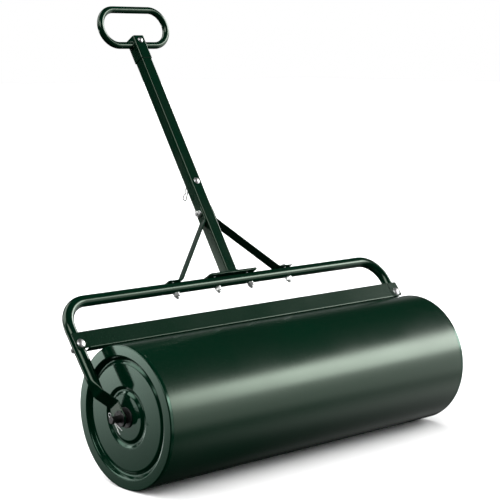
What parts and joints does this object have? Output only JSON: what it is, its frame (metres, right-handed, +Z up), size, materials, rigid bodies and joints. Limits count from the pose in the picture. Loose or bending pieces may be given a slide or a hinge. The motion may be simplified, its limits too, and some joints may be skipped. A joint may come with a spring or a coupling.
{
  "type": "lawn roller",
  "caption": "Push or tow lawn roller: a fillable steel drum on a fixed axle, a bent tube frame with a scraper, and a braced drawbar with a closed grip loop.",
  "frame": {"origin": "on the ground, under the middle of the axle", "axes": "+X along the axle towards the capped end with the fill plug, +Y back towards the user, +Z up"},
  "size_m": [1.012, 0.7066, 1.0111],
  "materials": {
    "frame_paint": "gloss dark green enamel",
    "drum_paint": "gloss dark green enamel",
    "zinc": "bright zinc plate",
    "bare_steel": "blackened drawn steel",
    "nylon": "black nylon",
    "black_plastic": "moulded, satin",
    "rubber_seal": "matt"
  },
  "bodies": {
    "frame": {"frame_tube": "frame_paint", "axle": "bare_steel", "axle_spacer_left": "bare_steel", "axle_spacer_right": "bare_steel", "axle_washers": "zinc", "split_pin_left": "zinc", "split_pin_right": "zinc", "scraper_blade": "frame_paint", "scraper_bolts": "zinc", "scraper_nuts": "zinc", "drawbar_plate": "frame_paint", "plate_bolts": "zinc", "plate_washers": "zinc", "plate_nuts": "zinc", "drawbar_tube": "frame_paint", "drawbar_spigot": "frame_paint", "brace_left": "frame_paint", "brace_right": "frame_paint", "brace_foot_bolts": "zinc", "brace_foot_washers": "zinc", "brace_foot_nuts": "zinc", "brace_bolt": "zinc", "brace_bolt_nut": "zinc", "brace_bolt_washers": "zinc", "handle_tube": "frame_paint", "grip_sleeve": "frame_paint", "grip_loop": "frame_paint", "grip_bolt": "zinc", "grip_nut": "zinc"},
    "drum": {"drum_shell": "drum_paint", "drum_end_cap_left": "drum_paint", "drum_end_cap_right": "drum_paint", "axle_tube": "bare_steel", "bush_left": "nylon", "bush_right": "nylon", "fill_neck": "drum_paint"},
    "fill_plug": {"fill_plug": "black_plastic", "plug_gasket": "rubber_seal"},
    "hitch_pin": {"hitch_pin": "zinc"},
    "r_clip": {"r_clip": "zinc"}
  },
  "joints": [
    {"name": "drum_roll", "type": "hinge", "parent": "frame", "child": "drum", "pos_m": [0, 0, 0.1524], "axis": [1, 0, 0], "continuous": true},
    {"name": "fill_plug_out", "type": "slide", "parent": "drum", "child": "fill_plug", "axis": [1, 0, 0], "range_m": [0, 0.012]},
    {"name": "hitch_pin_slide", "type": "slide", "parent": "frame", "child": "hitch_pin", "axis": [0, -0.8443, 0.5358], "range_m": [0, 0.004]},
    {"name": "r_clip_pull", "type": "slide", "parent": "hitch_pin", "child": "r_clip", "axis": [-0.5736, -0.4389, -0.6916], "range_m": [0, 0.03]}
  ]
}
